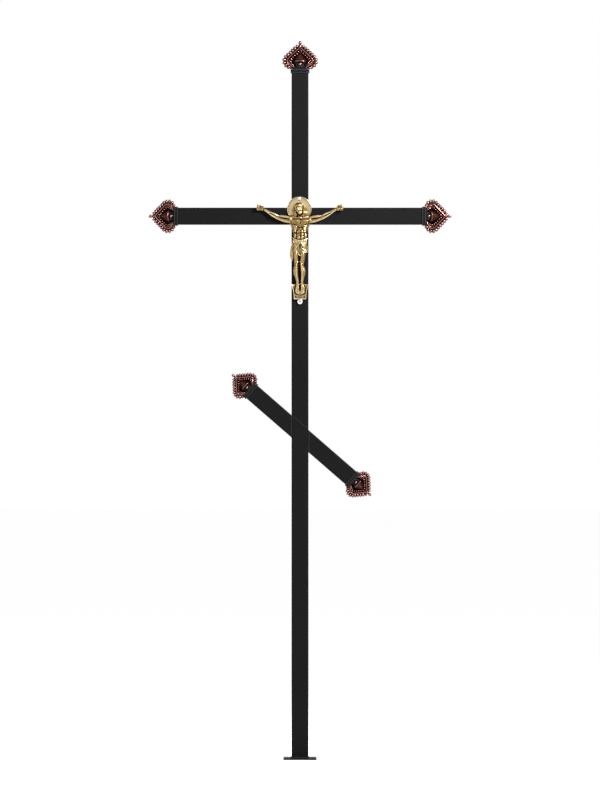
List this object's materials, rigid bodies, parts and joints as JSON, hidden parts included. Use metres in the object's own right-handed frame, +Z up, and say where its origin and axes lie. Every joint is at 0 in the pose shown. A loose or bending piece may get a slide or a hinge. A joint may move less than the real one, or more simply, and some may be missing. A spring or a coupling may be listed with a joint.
{
  "type": "wrought iron grave cross",
  "caption": "Tall grave cross of black rectangular steel tube with a slanted foot bar, heart-shaped cast finials, a brass-coloured crucifix figure with halo, and a square foot plate.",
  "frame": {"origin": "centre of the foot plate's underside, where the cross meets the ground", "axes": "+Z up along the post, +X to the viewer's right along the crossbar, front with the figure faces -Y"},
  "size_m": [0.895, 0.098, 2.1185],
  "materials": {
    "powder_coat": "satin black powder coat",
    "copper_patina": "black cast metal rubbed with copper on its raised parts",
    "aged_brass": "cast brass with brown in its recesses",
    "bright_steel": "bright domed screw heads"
  },
  "bodies": {
    "root": {"base_plate": "powder_coat", "post_lower": "powder_coat", "post_upper": "powder_coat", "crossbar_left": "powder_coat", "crossbar_right": "powder_coat", "footbar_high": "powder_coat", "footbar_low": "powder_coat", "finial_top": "copper_patina", "finial_left": "copper_patina", "finial_right": "copper_patina", "finial_foot_high": "copper_patina", "finial_foot_low": "copper_patina", "crucifix_figure": "aged_brass", "screw_top": "bright_steel", "screw_bottom": "bright_steel"}
  },
  "joints": []
}
